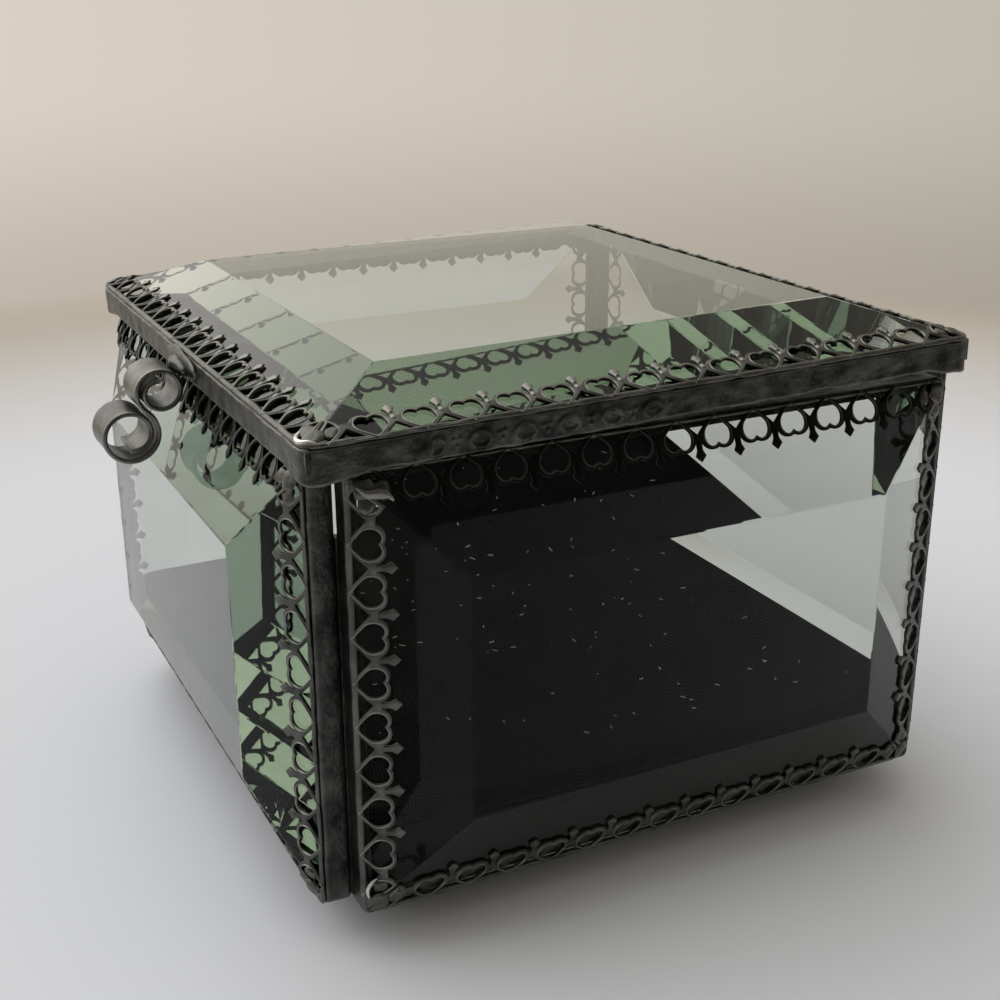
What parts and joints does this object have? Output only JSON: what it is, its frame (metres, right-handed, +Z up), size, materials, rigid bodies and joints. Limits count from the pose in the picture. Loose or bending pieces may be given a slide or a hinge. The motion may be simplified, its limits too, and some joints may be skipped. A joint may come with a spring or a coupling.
{
  "type": "glass casket box",
  "caption": "Small keepsake casket of thick bevelled glass plates edged with soldered banding and pierced heart lace, with a hinged lid, a scroll handle and a velvet base.",
  "frame": {"origin": "on the table, under the middle of the box", "axes": "+X to the right when facing the handle, +Y to the hinge at the rear, +Z up"},
  "size_m": [0.1292, 0.1362, 0.0898],
  "materials": {
    "plate_glass": "polished, with a pale green tint in the thick edges",
    "banding": "tinned with solder and darkened to a grey patina",
    "lace": "stamped and pierced, tinned, dark grey patina with rubbed edges",
    "solder": "poured bead, dark grey patina",
    "fittings": "smooth, tinned, dark grey patina",
    "velvet": "short black pile",
    "black_board": "covered in matt black cloth"
  },
  "bodies": {
    "box": {"foot_board": "black_board", "base_board": "black_board", "velvet_pad": "velvet", "front_glass": "plate_glass", "rear_glass": "plate_glass", "left_glass": "plate_glass", "right_glass": "plate_glass", "front_band": "banding", "rear_band": "banding", "left_band": "banding", "right_band": "banding", "front_lace_top": "lace", "front_lace_bottom": "lace", "front_lace_left": "lace", "front_lace_right": "lace", "rear_lace_top": "lace", "rear_lace_bottom": "lace", "rear_lace_left": "lace", "rear_lace_right": "lace", "left_lace_top": "lace", "left_lace_bottom": "lace", "left_lace_left": "lace", "left_lace_right": "lace", "right_lace_top": "lace", "right_lace_bottom": "lace", "right_lace_left": "lace", "right_lace_right": "lace", "bead_front_left": "solder", "bead_front_right": "solder", "bead_rear_left": "solder", "bead_rear_right": "solder", "hinge_tubes_body": "fittings", "hinge_pin": "fittings"},
    "lid": {"lid_glass": "plate_glass", "lid_band": "banding", "lid_lace_rear": "lace", "lid_lace_front": "lace", "lid_lace_left": "lace", "lid_lace_right": "lace", "hinge_tubes_lid": "fittings", "scroll_handle": "fittings"}
  },
  "joints": [
    {"name": "lid_hinge", "type": "hinge", "parent": "box", "child": "lid", "pos_m": [0, 0.0575, 0.07933], "axis": [-1, 0, 0], "range_deg": [0, 105]}
  ]
}
